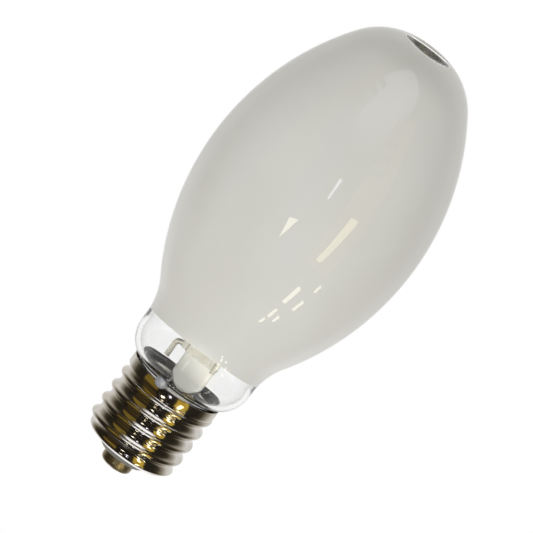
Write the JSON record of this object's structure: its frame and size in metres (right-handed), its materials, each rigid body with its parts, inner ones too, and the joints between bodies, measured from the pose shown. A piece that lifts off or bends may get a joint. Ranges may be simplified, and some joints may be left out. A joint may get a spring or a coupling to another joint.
{
  "type": "metal halide lamp",
  "caption": "Discharge lamp with an egg-shaped, inside-coated glass bulb, a clear neck that shows the stem, and a mogul screw cap.",
  "frame": {"origin": "on the lamp axis, at the tip of the centre contact", "axes": "+Z along the lamp axis from the cap to the crown; -Y towards the side solder and the viewer of the picture; +X to the viewer's right"},
  "size_m": [0.0906, 0.0906, 0.2008],
  "materials": {
    "clear_glass": "clear gloss borosilicate glass",
    "white_coat": "fine matt powder coat, warm white, on the inside of the glass",
    "quartz": "clear fused quartz",
    "end_coat": "matt white heat-reflecting coat",
    "salts": "dull yellow crystals",
    "resistor_body": "matt brown body",
    "dark_metal": "dull grey",
    "bimetal": "satin",
    "frame_steel": "satin nickel plate on steel wire and sheet",
    "coil_wire": "heat-tinted wire",
    "lead_wire": "satin",
    "tungsten": "dark satin",
    "molybdenum": "satin",
    "shell_plate": "bright nickel plate on rolled brass",
    "opal_glass": "opaque pale grey glass",
    "contact_brass": "dulled plate over brass",
    "solder": "bright rounded solder",
    "cement": "matt basing cement"
  },
  "bodies": {
    "root": {"outer_bulb": "clear_glass", "inner_coating": "white_coat", "stem": "clear_glass", "stem_strap": "frame_steel", "side_lead_wire": "lead_wire", "centre_lead_wire": "lead_wire", "frame_rod_left": "frame_steel", "frame_rod_right": "frame_steel", "upper_frame": "frame_steel", "dimple_coil": "coil_wire", "flying_lead": "frame_steel", "arc_tube": "quartz", "lower_electrode": "tungsten", "upper_electrode": "tungsten", "starter_electrode": "tungsten", "lower_main_foil": "molybdenum", "starter_foil": "molybdenum", "upper_foil": "molybdenum", "lower_main_lead": "molybdenum", "starter_lead": "molybdenum", "upper_lead": "molybdenum", "lower_end_coat": "end_coat", "upper_end_coat": "end_coat", "halide_dose": "salts", "lower_clip": "frame_steel", "upper_clip": "frame_steel", "starting_resistor": "resistor_body", "bimetal_switch": "bimetal", "getter": "dark_metal", "screw_shell": "shell_plate", "insulator": "opal_glass", "contact_button": "contact_brass", "centre_solder": "solder", "side_solder": "solder", "basing_cement": "cement"}
  },
  "joints": []
}
